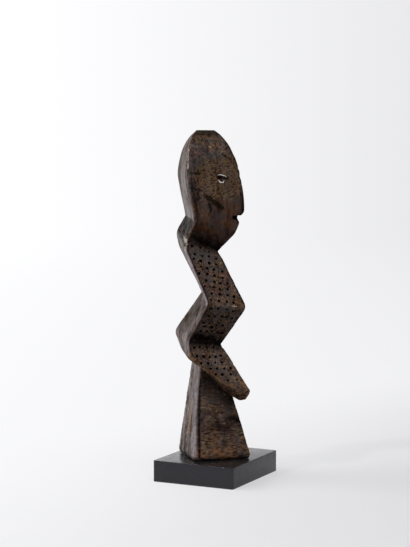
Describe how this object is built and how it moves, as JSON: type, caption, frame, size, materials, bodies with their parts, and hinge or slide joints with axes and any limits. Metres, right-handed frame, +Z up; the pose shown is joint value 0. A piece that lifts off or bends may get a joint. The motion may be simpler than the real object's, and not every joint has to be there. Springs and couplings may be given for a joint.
{
  "type": "lega figure",
  "caption": "Carved dark wood figure folded in a zig-zag, with a tall egg-shaped head, pitted folds and a flared foot, standing on a low black plinth.",
  "frame": {"origin": "middle of the plinth's underside", "axes": "+Z up, the figure faces -Y, +X is the figure's left hand side"},
  "size_m": [0.098, 0.0847, 0.3278],
  "materials": {
    "carved_wood": "dark brown handled patina, satin, rubbed lighter on the edges",
    "black_paint": "smooth satin black paint"
  },
  "bodies": {
    "root": {"figure": "carved_wood", "plinth": "black_paint"}
  },
  "joints": []
}
